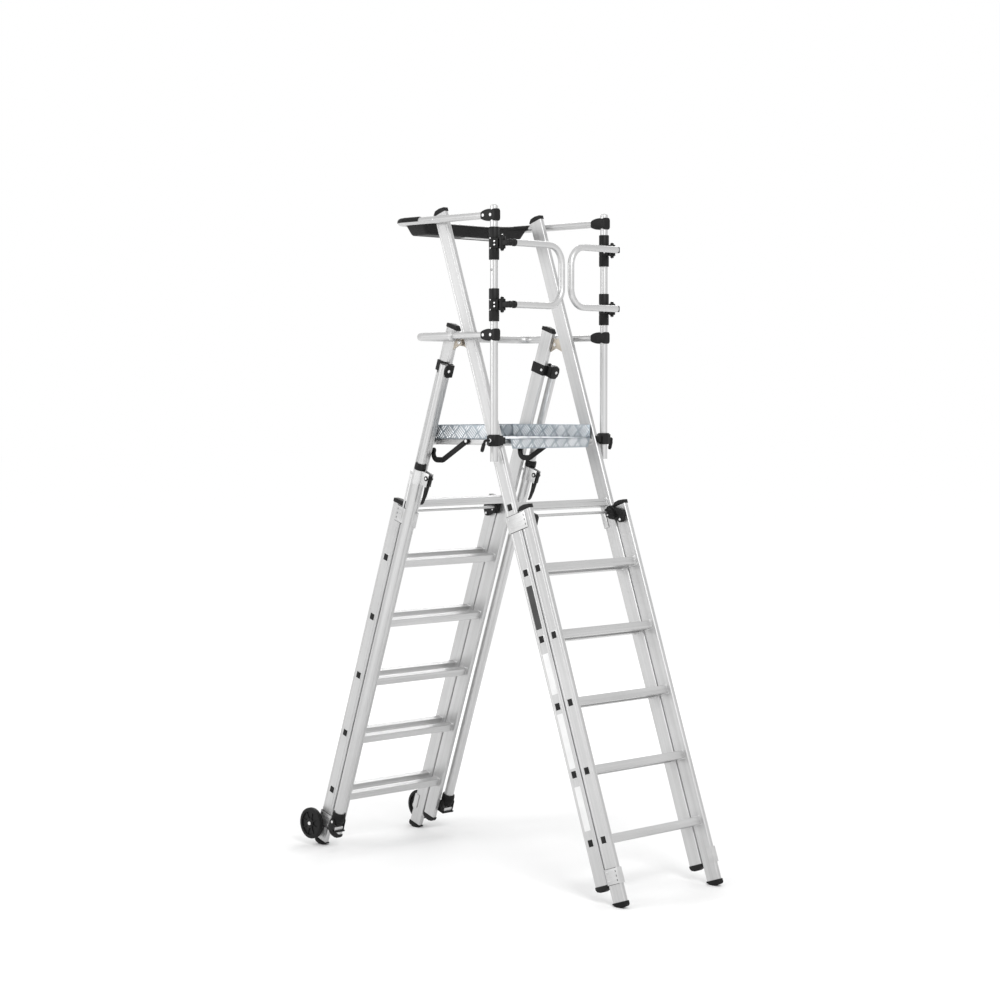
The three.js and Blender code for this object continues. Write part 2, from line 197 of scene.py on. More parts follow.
class Finish:
    """One material: its nodes, and the shader that they feed."""

    def __init__(self, name, slot, metallic=0.0, specular=0.5):
        self.slot = slot
        self.material = bpy.data.materials.new(name)
        self.material.use_nodes = True
        self.tree = self.material.node_tree
        self.shader = self.tree.nodes["Principled BSDF"]
        self.shader.inputs["Metallic"].default_value = metallic
        self.shader.inputs["Specular IOR Level"].default_value = specular

    def add(self, kind, settings=None, inputs=(), output=0):
        node = self.tree.nodes.new(kind)
        for key, value in (settings or {}).items():
            if key == "stops":
                self._ramp(node, value)
            else:
                setattr(node, key, value)
        pairs = inputs.items() if isinstance(inputs, dict) else enumerate(inputs)
        for key, value in pairs:
            self.link(value, node.inputs[key])
        return Value(self, node.outputs[output])

    def _ramp(self, node, stops):
        ramp = node.color_ramp
        for element, (place, colour) in zip(ramp.elements, (stops[0], stops[-1])):
            element.position = place
            element.color = (*colour, 1)
        for place, colour in stops[1:-1]:
            ramp.elements.new(place).color = (*colour, 1)

    def link(self, value, socket):
        if isinstance(value, Value):
            self.tree.links.new(value.socket, socket)
        else:
            socket.default_value = value

    def coordinates(self, turn=(0, 0, 0), stretch=(1, 1, 1)):
        place = self.add("ShaderNodeTexCoord", output=3)
        straight = self.add("ShaderNodeMapping", {}, {"Vector": place, "Rotation": turn})
        return self.add("ShaderNodeVectorMath", {"operation": "MULTIPLY"}, [straight, stretch])

    def noise(self, vector, scale, detail=3.0):
        return self.add("ShaderNodeTexNoise", {}, {"Vector": vector, "Scale": scale, "Detail": detail})

    def mix(self, factor, dark, light):
        node = self.tree.nodes.new("ShaderNodeMix")
        node.data_type = "RGBA"
        self.link(factor, node.inputs[0])
        self.link(dark, node.inputs[6])
        self.link(light, node.inputs[7])
        return Value(self, node.outputs[2])

    def bump(self, height, strength, distance):
        inputs = {"Height": height, "Strength": strength, "Distance": distance}
        self.link(self.add("ShaderNodeBump", {}, inputs), self.shader.inputs["Normal"])

    def set(self, **values):
        for name, value in values.items():
            self.link(value, self.shader.inputs[name.replace("_", " ")])


def grey(level):
    return (level, level, level, 1)


# %% [markdown]
# ## Aluminium in four directions
# The real sections are extruded, so fine die lines run along each one, and the metal is a soft satin between
# them. One recipe makes it: noise squeezed hard across the profile and drawn out along it. The direction is
# the only difference between a stile, a rung, a post and a rail.


# %% Extruded aluminium
LINE_LONG, LINE_FINE = 1.5, 420.0


def extruded(name, turn, along):
    """along is the axis, after the turn, that the die lines follow."""
    made = Finish(name, "aluminium", metallic=0.88)
    stretch = tuple(LINE_LONG if axis == along else LINE_FINE for axis in "XYZ")
    lines = made.noise(made.coordinates(turn, stretch), 1.0, 2.0)
    broad = made.noise(made.coordinates(turn, tuple(s / 9 for s in stretch)), 1.0, 2.0)
    cloud = made.noise(made.coordinates(), 3.0, 4.0)
    tone = (0.35 * lines + 0.35 * broad + 0.3 * cloud).smooth(0.3, 0.7)
    rough = 0.26 + (0.12 * lines + 0.10 * cloud)
    made.set(Base_Color=made.mix(tone, grey(0.47), grey(0.60)), Roughness=rough)
    made.bump(lines, 0.12, 0.0004)
    return made


ALU_FRONT = extruded("extruded_front", (lean, 0, 0), "Z")
ALU_REAR = extruded("extruded_rear", (-lean, 0, 0), "Z")
ALU_ACROSS = extruded("extruded_across", (0, 0, 0), "X")
ALU_UP = extruded("extruded_up", (0, 0, 0), "Z")
ALU_BACK = extruded("extruded_back", (0, 0, 0), "Y")

# %% [markdown]
# ## The other finishes
# Checker plate is rolled; here its sheet is painted dark as shade and its raised bars bright as a painted
# highlight. Brackets are pressed sheet. The fittings are moulded nylon with a fine spark-eroded grain, and
# the feet and wheels are duller rubber.


# %% Sheet, plate, plastic, rubber and steel
def clouded(name, slot, dark, light, rough, grain, depth, metallic=0.0, specular=0.5):
    """A finish whose colour and roughness drift slowly under a fine grain."""
    made = Finish(name, slot, metallic, specular)
    cloud = made.noise(made.coordinates(), 14.0, 4.0)
    speck = made.noise(made.coordinates(), grain, 2.0)
    tone = (0.7 * cloud + 0.3 * speck).smooth(0.3, 0.7)
    made.set(Base_Color=made.mix(tone, dark, light), Roughness=rough + (0.14 * cloud + 0.08 * speck))
    made.bump(speck, 0.3, depth)
    return made


def paint(red, green, blue):
    return (red, green, blue, 1)


DULL = 0.2
SHEET = clouded("pressed_sheet", "aluminium", grey(0.50), grey(0.62), 0.28, 600, 0.0002, 0.85)
# Painted light: the plate's sheet is painted dark as shade and its bars far brighter as a painted highlight,
# lit and shaded copies of one rolled aluminium.
PLATE_SHADE_TONES = (paint(0.26, 0.30, 0.33), paint(0.38, 0.41, 0.44))
SHADED_PLATE = clouded("shaded_rolled_plate", "deck_plate", *PLATE_SHADE_TONES, 0.26, 350, 0.0002, 0.9)
BAR_HIGHLIGHT_TONES = (paint(0.76, 0.78, 0.80), paint(0.92, 0.93, 0.94))
HIGHLIT_BARS = clouded("highlit_rolled_bars", "deck_plate", *BAR_HIGHLIGHT_TONES, 0.18, 500, 0.0002, 0.9)
HINGE_TONES = (paint(0.36, 0.32, 0.27), paint(0.46, 0.42, 0.36))
HINGE_SHEET = clouded("hinge_sheet", "aluminium", *HINGE_TONES, 0.3, 600, 0.0002, 0.7)
NYLON = clouded("black_nylon", "black_plastic", grey(0.004), grey(0.010), 0.36, 1500, 0.0002, 0, DULL)
TRAY_ABS = clouded("tray_shell", "black_plastic", grey(0.005), grey(0.010), 0.44, 900, 0.0004, 0, DULL)
RUBBER = clouded("foot_rubber", "rubber", grey(0.004), grey(0.009), 0.55, 1100, 0.0003, 0, DULL)
TYRE = clouded("wheel_rubber", "tyre", grey(0.004), grey(0.010), 0.45, 1100, 0.0003, 0, DULL)
STEEL = clouded("bright_steel", "aluminium", grey(0.62), grey(0.78), 0.18, 900, 0.0001, 1.0)
WHITE = clouded("white_pin", "black_plastic", grey(0.62), grey(0.75), 0.3, 900, 0.0001)
DECAL = clouded("plain_strip", "black_plastic", grey(0.66), grey(0.74), 0.35, 700, 0.0001, 0.3)
DECAL_DARK = clouded("dark_strip", "black_plastic", grey(0.02), grey(0.035), 0.3, 700, 0.0001)
FLOOR = clouded("studio_floor", "rubber", grey(0.965), grey(0.985), 0.8, 3, 0.0001, 0, 0)
# Painted shadow: the floor is painted darker (0.83) within about 1.4 m of the middle, fading to white by 4.2
# m, with a noise wobble on its edge.
away = FLOOR.add("ShaderNodeVectorMath", {"operation": "LENGTH"}, [FLOOR.coordinates()], 1)
ripple = FLOOR.noise(FLOOR.coordinates(), 0.6) * 0.4
PAINTED_SHADE_EDGE = (1.4, 4.2)
FLOOR.set(Base_Color=FLOOR.mix((away + ripple).smooth(*PAINTED_SHADE_EDGE), grey(0.83), grey(1.0)))
floor.data.materials.append(FLOOR.material)
print("finishes:", len(bpy.data.materials))

# %% [markdown]
# ## A small workshop for meshes
# Most pieces are cut from sheet, drawn as tube, or turned. So the workshop has three tools: carry an outline
# along an axis, sweep a section along a route, and turn a profile. Carried pieces can have their edges broken
# by a small bevel, because no real edge is perfectly sharp, and edges catch the light.


# %% The workshop
SHARP, SMOOTH = math.radians(32), math.radians(35)
made = []


def circle(radius, sides):
    steps = [2 * math.pi * i / sides for i in range(sides)]
    return [(radius * math.cos(a), radius * math.sin(a)) for a in steps]


def square_to(axis):
    """A unit axis and two directions square to it."""
    axis = Vector(axis).normalized()
    first = axis.orthogonal().normalized()
    return axis, first, axis.cross(first)


class Shape:
    """Gathers primitives in one set of axes, in millimetres, and finishes them as one object."""

    def __init__(self, axes):
        self.axes = axes
        self.mesh = bmesh.new()

    def _take(self, part, bevel):
        bmesh.ops.recalc_face_normals(part, faces=part.faces)
        if bevel:
            sharp = [e for e in part.edges if e.is_manifold and e.calc_face_angle(0) > SHARP]
            bmesh.ops.bevel(
                part, geom=sharp, offset=bevel, segments=2, affect="EDGES", profile=0.6, clamp_overlap=True
            )
        temporary = bpy.data.meshes.new("part")
        part.to_mesh(temporary)
        part.free()
        self.mesh.from_mesh(temporary)
        bpy.data.meshes.remove(temporary)
        return self

    def carry(self, outline, start, end, bevel=0.0):
        """Joins a closed loop of points to the same loop moved from start to end."""
        part = bmesh.new()
        low = [part.verts.new(Vector(p) + Vector(start)) for p in outline]
        high = [part.verts.new(Vector(p) + Vector(end)) for p in outline]
        part.faces.new(low)
        part.faces.new(list(reversed(high)))
        for i in range(len(low)):
            k = (i + 1) % len(low)
            part.faces.new((low[i], high[i], high[k], low[k]))
        return self._take(part, bevel)

    def across(self, outline, x0, x1, bevel=0.0):
        return self.carry([(0, n, t) for n, t in outline], (x0, 0, 0), (x1, 0, 0), bevel)

    def along(self, outline, t0, t1, bevel=0.0):
        return self.carry([(x, n, 0) for x, n in outline], (0, 0, t0), (0, 0, t1), bevel)

    def box(self, xs, ns, ts, bevel=0.6):
        (x0, x1), (n0, n1), (t0, t1) = (sorted(pair) for pair in (xs, ns, ts))
        return self.along([(x0, n0), (x1, n0), (x1, n1), (x0, n1)], t0, t1, bevel)

    def loops(self, rings, closed=False):
        """Skins a row of equal rings of points, and caps its ends or joins them."""
        part = bmesh.new()
        rows = [[part.verts.new(p) for p in ring] for ring in rings]
        pairs = list(zip(rows, rows[1:])) + ([(rows[-1], rows[0])] if closed else [])
        for a, b in pairs:
            for i in range(len(a)):
                k = (i + 1) % len(a)
                part.faces.new((a[i], a[k], b[k], b[i]))
        if not closed:
            part.faces.new(list(reversed(rows[0])))
            part.faces.new(rows[-1])
        return self._take(part, 0)

    def sweep(self, route, section):
        """Carries a section, a list of sideways offsets, along a route without twisting it."""
        points = [Vector(p) for p in route]
        ahead, behind = points[1:] + points[-1:], points[:1] + points[:-1]
        heads = [(a - b).normalized() for a, b in zip(ahead, behind)]
        up = Vector((0, 0, 1)) if abs(heads[0].z) < 0.9 else Vector((0, 1, 0))
        first = heads[0].cross(up).normalized()
        rings = []
        for point, head in zip(points, heads):
            first = (first - head * first.dot(head)).normalized()
            second = head.cross(first)
            rings.append([point + first * a + second * b for a, b in section])
        return self.loops(rings)

    def tube(self, route, radius, sides=28):
        return self.sweep(route, circle(radius, sides))

    def turn(self, profile, place, axis, sides=40):
        """Turns (distance along the axis, radius) pairs about an axis through place."""
        axis, first, second = square_to(axis)
        rings = []
        for along, radius in profile:
            middle = Vector(place) + axis * along
            rings.append([middle + first * a + second * b for a, b in circle(max(radius, 0.02), sides)])
        return self.loops(rings)

    def ring(self, profile, place, axis, sides=40):
        """The same for a closed profile that never reaches the axis, such as a tyre or a collar."""
        axis, first, second = square_to(axis)
        spokes = []
        for a, b in circle(1, sides):
            out = first * a + second * b
            spokes.append([Vector(place) + axis * along + out * radius for along, radius in profile])
        return self.loops(spokes, closed=True)

    def done(self, name, finish, body, stands_for=()):
        """Turns the gathered mesh into an object that rides on a body."""
        bmesh.ops.transform(self.mesh, matrix=self.axes, verts=self.mesh.verts)
        for edge in self.mesh.edges:
            edge.smooth = edge.calc_face_angle(0) < SMOOTH
        for face in self.mesh.faces:
            face.smooth = True
        data = bpy.data.meshes.new(name)
        self.mesh.to_mesh(data)
        self.mesh.free()
        data.materials.append(finish.material)
        piece = stand(name, data)
        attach(piece, body)
        if stands_for:
            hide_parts(*stands_for)
        made.append(name)


def bent(corners, bend, steps=10):
    """A route of straight runs with its corners rounded to a radius."""
    points = [Vector(p) for p in corners]
    route = [points[0]]
    for back, here, onward in zip(points, points[1:], points[2:]):
        a = (back - here).normalized()
        b = (onward - here).normalized()
        half = a.angle(b) / 2
        reach = bend / math.tan(half)
        start, end = here + a * reach, here + b * reach
        middle = here + (a + b).normalized() * (bend / math.sin(half))
        for i in range(steps + 1):
            turned = (start - middle).normalized().slerp((end - middle).normalized(), i / steps)
            route.append(middle + turned * bend)
    return route + [points[-1]]


def arc(n, t, radius, start, stop, step):
    """Points on part of a circle, with the angles in degrees."""
    angles = (math.radians(d) for d in range(start, stop, step))
    return [(n + radius * math.cos(a), t + radius * math.sin(a)) for a in angles]


def pill(half_wide, half_high, corner, steps=4):
    """A rounded rectangle as sideways offsets."""
    points = []
    for cx, cy, start in ((1, 1, 0), (-1, 1, 90), (-1, -1, 180), (1, -1, 270)):
        for i in range(steps + 1):
            a = math.radians(start + 90 * i / steps)
            x = cx * (half_wide - corner) + corner * math.cos(a)
            points.append((x, cy * (half_high - corner) + corner * math.sin(a)))
    return points


# %% [markdown]
# ## Stiles
# A stile is an extrusion, 66 by 22 mm, with broken edges, two shallow grooves on its outer face and one down
# each edge. It could be a plain box with a bump map, but the grooves draw the long dark lines that make it
# read as an extrusion from any side, so they are real.

# %% The stile's section
OUT_X = 300
THICK = 22
HALF = 33
OFFSET = 73


def stile_section(side, n):
    """x and n of the profile, going round once."""
    inner, outer = OUT_X - THICK, OUT_X
    r = 2.5
    face = [(outer, HALF - r), (outer, 24), (outer - 1.1, 23), (outer - 1.1, 20), (outer, 19)]
    edge_top = [(inner + r, HALF), (287, HALF), (287.6, HALF - 1.2), (290.4, HALF - 1.2), (291, HALF)]
    right = face + [(x, -v) for x, v in reversed(face)]
    low = [(outer - r, -HALF)] + [(x, -v) for x, v in reversed(edge_top)]
    left = [(inner, -HALF + r), (inner, HALF - r)]
    loop = right + low + left + edge_top + [(outer - r, HALF)]
    return [(side * x, n + v) for x, v in loop]


def plug_outline(n, t, deep=19):
    """The faceted end plug of a stile, seen from its side."""
    steps = ((-34, -2), (-34, 0.22), (-21, 0.88), (4, 1), (34, 0.74), (34, -2))
    return [(n + a, t + (b if b == -2 else b * deep)) for a, b in steps]


UPPER_END = -2498
LOWER_TOP = -953
STILE_FOOT = -2574
TOPS = {"front": 372, "rear": -140}


def bottom_outline(n, t):
    """The rounded plug under an upper stile."""
    steps = ((-34, 2), (-34, -9), (-27, -18), (-10, -23), (10, -23), (27, -17), (34, -9), (34, 2))
    return [(n + a, t + b) for a, b in steps]


def dress_stiles(name, axes, finish):
    for hand, side in hands_of(axes):
        upper = Shape(axes).along(stile_section(side, 0), UPPER_END, TOPS[name])
        upper.done(f"{name}_upper_stile_{hand}_skin", finish, f"{name}_upper", [f"{name}_upper_stile_{hand}"])
        lower = Shape(axes).along(stile_section(side, OFFSET), STILE_FOOT, LOWER_TOP)
        lower.done(f"{name}_lower_stile_{hand}_skin", finish, f"{name}_lower", [f"{name}_lower_stile_{hand}"])
        xs = (side * (OUT_X - THICK - 1.5), side * (OUT_X + 1.5))
        for label, outline, body in (
            ("upper_cap", plug_outline(0, TOPS[name]), "upper"),
            ("upper_plug", bottom_outline(0, UPPER_END), "upper"),
            ("lower_cap", plug_outline(OFFSET, LOWER_TOP), "lower"),
        ):
            cap = Shape(axes).across(outline, *xs, bevel=1.2)
            cap.done(f"{name}_{label}_{hand}", NYLON, f"{name}_{body}")


dress_stiles("front", FRONT, ALU_FRONT)
dress_stiles("rear", REAR, ALU_REAR)
print("stiles and caps:", len(made))

# %% [markdown]
# ## Rubber feet
# Each foot is a rubber block over the end of a lower stile, flat where it stands and rounded up at its edges,
# with two grip ridges on its side.


# %% Feet on the floor
def floor_t(n):
    return (-apex.z / MM - n * math.sin(lean)) / math.cos(lean)


def dress_feet(name, axes):
    for hand, side in hands_of(axes):
        n0, n1 = OFFSET - HALF - 2, OFFSET + HALF + 2
        outline = [
            (n0, STILE_FOOT + 1),
            (n0, STILE_FOOT - 6),
            (n0 + 4, floor_t(n0 + 4) + 4),
            (n0 + 16, floor_t(n0 + 16)),
            (n0 + 38, floor_t(n0 + 38)),
            (n1 - 6, STILE_FOOT - 20),
            (n1, STILE_FOOT - 14),
            (n1, STILE_FOOT + 1),
        ]
        xs = (side * (OUT_X - THICK - 2), side * (OUT_X + 2))
        foot = Shape(axes).across(outline, *xs, bevel=1.4)
        for k in range(2):
            ridge = STILE_FOOT - 2 - 5 * k
            ns = (n0 + 7, n1 - 7 - 4 * k)
            foot.box((side * (OUT_X + 1), side * (OUT_X + 2.8)), ns, (ridge - 2, ridge), 0.5)
        foot.done(f"{name}_foot_{hand}_rubber", RUBBER, f"{name}_lower", [f"{name}_foot_{hand}"])


for section, axes in SECTIONS:
    dress_feet(section, axes)

# %% [markdown]
# ## Rungs
# A rung is an extrusion with ribs along its tread, so that a shoe grips it. Square black plugs and pressed
# collars mark its ends. Each section's top rung is round instead, because the platform turns on one and rests
# on the other.


# %% Rungs, crimps and plugs
def rung_section(n, t):
    half_n, half_t = 15, 16.5
    ribs = 5
    pitch = (2 * half_n - 4) / ribs
    top = []
    for k in range(ribs):
        left = -half_n + 2 + pitch * k
        top += [(left + 1, half_t), (left + pitch - 1.2, half_t), (left + pitch - 0.6, half_t - 1.1)]
    left_end = [(-half_n, -half_t + 1.5), (-half_n, -4), (-half_n + 0.8, -3)]
    left_end += [(-half_n + 0.8, 3), (-half_n, 4), (-half_n, half_t - 1.5)]
    right_end = [(-a, b) for a, b in reversed(left_end)]
    loop = left_end + top + right_end + [(half_n - 1.5, -half_t), (-half_n + 1.5, -half_t)]
    return [(n + a, t + b) for a, b in loop]


REACH = OUT_X - THICK


def dress_rungs(name, axes):
    for level, count, n in (("upper", 7, 0), ("lower", 5, OFFSET)):
        for k in range(count):
            node = f"{name}_{level}_rung_{k + 1}"
            rung = Shape(axes)
            if level == "upper" and k == count - 1:
                rung.tube([(-REACH, n, rung_t(k)), (REACH, n, rung_t(k))], 15, 40)
            else:
                rung.across(rung_section(n, rung_t(k)), -REACH, REACH)
            rung.done(f"{node}_skin", ALU_ACROSS, f"{name}_{level}", [node])
        plugs = Shape(axes)
        crimps = Shape(axes)
        for k in range(count):
            t = rung_t(k)
            for side in (-1, 1):
                for shape, x0, x1, half_n, half_t, bevel in (
                    (plugs, OUT_X - 4, OUT_X + 1.6, 12.5, 14, 0.8),
                    (crimps, OUT_X - 3, OUT_X + 0.7, 16, 17, 0.5),
                    (crimps, REACH - 1.6, REACH + 3, 19, 20, 0.7),
                ):
                    ns, ts = (n - half_n, n + half_n), (t - half_t, t + half_t)
                    shape.box((side * x0, side * x1), ns, ts, bevel)
        plugs.done(f"{name}_{level}_rung_plugs", NYLON, f"{name}_{level}")
        crimps.done(f"{name}_{level}_rung_crimps", SHEET, f"{name}_{level}")


for section, axes in SECTIONS:
    dress_rungs(section, axes)
print("with rungs:", len(made))

# %% [markdown]
# ## Guide brackets
# Two pressed brackets keep a lower section on its upper one: one on the lower stile's top, folded round the
# upper stile, and one on the upper stile's bottom, folded round the lower stile. Each is sheet with a folded
# return, three pressed ribs and two rivets.


# %% Pressed guide brackets
GUIDE_SHEET = 1.8
GUIDE_OUT = OUT_X + 0.8
FACE = GUIDE_OUT + GUIDE_SHEET


def guide(axes, side, ns, ts, return_n, name, body):
    n0, n1 = ns
    t0, t1 = ts
    bracket = Shape(axes)
    bracket.box((side * GUIDE_OUT, side * FACE), (n0, n1), (t0, t1), 0.5)
    inward = GUIDE_SHEET if return_n > (n0 + n1) / 2 else -GUIDE_SHEET
    bracket.box((side * (REACH - 3), side * FACE), (return_n, return_n + inward), (t0, t1), 0.5)
    hem = (return_n, return_n - 14 * inward)
    bracket.box((side * (REACH - 3), side * (REACH - 1.2)), hem, (t0, t1), 0.5)
    for k in range(3):
        t = t0 + (t1 - t0) * (k + 1) / 4
        bracket.box((side * (FACE - 0.5), side * (FACE + 0.9)), (n0 + 16, n1 - 18), (t - 2, t + 2), 0.6)
    rivet = [(0, 5), (1.6, 4.6), (2.6, 3), (2.9, 0)]
    for t in (t0 + 14, t1 - 14):
        bracket.turn(rivet, (side * (GUIDE_OUT + 1), n0 + 12, t), (side, 0, 0), 18)
    bracket.done(name, SHEET, body)
    # Painted shade: black strips along the bracket's top and bottom edges stand for the shade where the sheet
    # meets the stile, and three short black marks near its back edge for the shade in its slots.
    shade_marks = Shape(axes)
    for t in (t0 + 0.3, t1 - 0.3):
        shade_marks.box((side * (GUIDE_OUT - 0.3), side * (FACE + 0.2)), (n0 + 4, n1 - 4), (t - 0.7, t + 0.7), 0)
    for k in range(3):
        t = t0 + (t1 - t0) * (k + 0.8) / 3.6
        shade_marks.box((side * GUIDE_OUT, side * (FACE + 0.3)), (n1 - 12, n1 - 9), (t - 4, t + 4), 0)
    shade_marks.done(f"{name}_painted_shade_lines", NYLON, body)


for section, axes in SECTIONS:
    for hand, side in hands_of(axes):
        top, low = f"{section}_top_guide_{hand}", f"{section}_low_guide_{hand}"
        guide(axes, side, (-35, 76), (-1028, -958), -35, top, f"{section}_lower")
        guide(axes, side, (39, 107.5), (-2502, -2438), 107.5, low, f"{section}_upper")

# %% [markdown]
# ## Plain strips
# The outer face of one front stile carries stuck-on strips. They are left blank: a dark one and three pale
# ones, each thinner than a millimetre with rounded corners.

# %% Blank strips on the stile
STRIPS = ((1069, 1241, DECAL_DARK), (812, 972, DECAL), (522, 735, DECAL), (282, 452, DECAL))
for number, (z0, z1, finish) in enumerate(STRIPS):
    t0, t1 = ((z - apex.z / MM) / math.cos(lean) for z in (z0, z1))
    strip = Shape(FRONT)
    outline = [(n, t + (t0 + t1) / 2) for n, t in pill(16.5, (t1 - t0) / 2, 3)]
    strip.across(outline, OUT_X - 0.6, OUT_X + 0.45)
    strip.done(f"blank_strip_{number + 1}", finish, FIXED)
print("with brackets and strips:", len(made))

# %% [markdown]
# ## The main hinge
# At the top of the rear section each stile meets the front one on a pin. The real hinge is two pressed
# plates with a rounded eye and a pin with a domed head: the outer plate belongs to the rear stile and the
# inner leaf to the front one, so they turn past each other on the pin.


# %% Hinge plates and pins
def disc(axes, name, place, axis, radius, thick, finish, body):
    """A domed round head."""
    profile = [(0, radius), (thick * 0.55, radius), (thick * 0.85, radius * 0.86)]
    profile += [(thick, radius * 0.55), (thick, 0)]
    Shape(axes).turn(profile, place, axis, 28).done(name, finish, body)


def leaf(axes, n, t, edge, x0, x1):
    """A sheet from a stile's edge round an eye."""
    outline = arc(n, t, EYE, 90, 271, 20) + [(edge, t - 42), (edge, t + 22)]
    return Shape(axes).across(outline, x0, x1, 0.5)


EYE = 15
PIN_N, PIN_T = -62.2, -181.7
LEAF_N, LEAF_T = -60.7, -183.3
for hand, side in HANDS:
    plate = leaf(REAR, PIN_N, PIN_T, -34, side * 292.4, side * 298.6)
    plate.done(f"hinge_plate_{hand}", HINGE_SHEET, "rear_upper")
    disc(REAR, f"hinge_pin_head_{hand}", (side * 298, PIN_N, PIN_T), (side, 0, 0), 9, 6, STEEL, "rear_upper")
    pin = Shape(REAR).turn([(0, 0), (0, 7), (23, 7), (23, 0)], (side * 277, PIN_N, PIN_T), (side, 0, 0), 28)
    pin.done(f"hinge_pin_{hand}", STEEL, "rear_upper")
for hand, side in hands_of(FRONT):
    inner = leaf(FRONT, LEAF_N, LEAF_T, -32, side * 279.4, side * 284)
    inner.done(f"hinge_leaf_{hand}", HINGE_SHEET, FIXED)

# %% [markdown]
# ## The platform
# The deck is one sheet of checker plate folded down at the front, with toe boards standing at its sides and
# back and a box beam under each side. Checker plate is a sheet with raised bars in groups that alternate in
# direction. The bars are real, low lozenges in one mesh, so they catch light from every side; they are also
# painted bright as a highlight, and the sheet under them is painted dark as shade.


# %% Checker bars
GROUP, BARS, BAR_HIGH, SHORTEST, EDGE = 50, 5, 1.1, 15, 1.5


def clipped(middle, way, half, wide, high):
    """The part of a bar, as two distances along it, that stays inside the rectangle."""
    low, top = -half, half
    for place, step, limit in ((middle[0], way[0], wide), (middle[1], way[1], high)):
        reach = sorted(((EDGE - place) / step, (limit - EDGE - place) / step))
        low, top = max(low, reach[0]), min(top, reach[1])
    return low, top


def bar(mesh, spot, along, aside, out, low, top):
    """One lozenge with sloping sides."""
    rings = []
    for lift, wide, less in ((-0.3, 3.1, 0), (BAR_HIGH, 1.7, 1.6)):
        shape = [(low + less, 0), (low + 7, wide), (top - 7, wide)]
        shape += [(top - less, 0), (top - 7, -wide), (low + 7, -wide)]
        rings.append([mesh.verts.new(spot + along * a + aside * b + out * lift) for a, b in shape])
    mesh.faces.new(rings[1])
    for i in range(6):
        k = (i + 1) % 6
        mesh.faces.new((rings[0][i], rings[0][k], rings[1][k], rings[1][i]))


def checker(mesh, corner, u, v, wide, high):
    """Covers a rectangle, from its corner along u and v, with groups of bars at plus and minus 45 degrees."""
    u, v, corner = Vector(u), Vector(v), Vector(corner)
    out = u.cross(v)
    half = GROUP * 0.44
    root = math.sqrt(0.5)
    reach = int((wide + high) / GROUP) + 2
    for i in range(-reach, reach):
        for j in range(-reach, reach):
            centre_at = ((i - j) * GROUP * root + 11, (i + j) * GROUP * root + 27)
            way = (root, root) if (i + j) % 2 else (-root, root)
            aside = (-way[1], way[0])
            for k in range(BARS):
                shift = (k - (BARS - 1) / 2) * GROUP / BARS
                middle = (centre_at[0] + aside[0] * shift, centre_at[1] + aside[1] * shift)
                low, top = clipped(middle, way, half, wide, high)
                if top - low < SHORTEST:
                    continue
                spot = corner + u * middle[0] + v * middle[1]
                bar(mesh, spot, u * way[0] + v * way[1], u * aside[0] + v * aside[1], out, low, top)


# %% Deck, beams and bars
DECK_X, DECK_FRONT, DECK_REAR = 270, -245, 250
DECK_Z, DECK_THICK, BOARD, BOARD_SHEET = 1839.5, 4, 54.5, 3
LIP_X, LIP_LOW, BOARD_FRONT = 236, 42, -220
BEAM_X, BEAM_HALF, BEAM_HIGH = (235, 257), 188, 25
DECK_LOW = DECK_Z - DECK_THICK
deck = Shape(ROW)
deck.box((-DECK_X, DECK_X), (BOARD_FRONT, DECK_REAR), (DECK_LOW, DECK_Z), 1.2)
deck.box((-LIP_X, LIP_X), (DECK_FRONT, BOARD_FRONT + 2), (DECK_LOW, DECK_Z), 1.2)
lip = [(-LIP_X - 6, 0, DECK_Z), (-LIP_X + 8, 0, DECK_Z - LIP_LOW)]
lip += [(-x, 0, z) for x, _, z in reversed(lip)]
deck.carry(lip, (0, DECK_FRONT, 0), (0, DECK_FRONT + 3, 0), 0.8)
board_z = (DECK_Z - 3, DECK_Z + BOARD)
for side in (-1, 1):
    deck.box((side * (DECK_X - BOARD_SHEET), side * DECK_X), (BOARD_FRONT, DECK_REAR), board_z, 1.0)
deck.box((-DECK_X, DECK_X), (DECK_REAR - BOARD_SHEET, DECK_REAR), board_z, 1.0)
# The deck sheet and toe boards take the painted shade finish.
deck.done("deck_sheet", SHADED_PLATE, "platform", ["platform_deck"])
beams = Shape(ROW)
for side in (-1, 1):
    near, far = (side * x for x in BEAM_X)
    beams.box((near, far), (-BEAM_HALF, BEAM_HALF), (DECK_LOW - BEAM_HIGH, DECK_LOW), 1.5)
    for y in (-172, 172):
        beams.turn([(0, 6), (2.6, 5.6), (3.4, 3), (3.4, 0)], (far, y, DECK_Z - 16), (side, 0, 0), 20)
beams.done("deck_beams", ALU_BACK, "platform")

RIGHT, LEFT, BACK = (1, 0, 0), (-1, 0, 0), (0, 1, 0)
PATCHES = [
    ((-DECK_X + 4, BOARD_FRONT, DECK_Z), RIGHT, BACK, 2 * DECK_X - 8, DECK_REAR - BOARD_FRONT - 4),
    ((DECK_X - 1, DECK_REAR, DECK_Z - 3), LEFT, UP, 2 * DECK_X - 2, BOARD + 3),
    ((-DECK_X + 4, DECK_REAR - BOARD_SHEET, DECK_Z), RIGHT, UP, 2 * DECK_X - 8, BOARD),
    ((-LIP_X + 5, DECK_FRONT, DECK_Z - 41), RIGHT, UP, 2 * LIP_X - 10, 41),
]
for side in (-1, 1):
    first, last = BOARD_FRONT, DECK_REAR - 2
    near, far = (first, last) if side < 0 else (last, first)
    PATCHES.append(((side * DECK_X, far, DECK_Z - 3), (0, side, 0), UP, last - first, BOARD + 3))
    inner = (side * (DECK_X - BOARD_SHEET), near, DECK_Z)
    PATCHES.append((inner, (0, -side, 0), UP, last - first, BOARD))
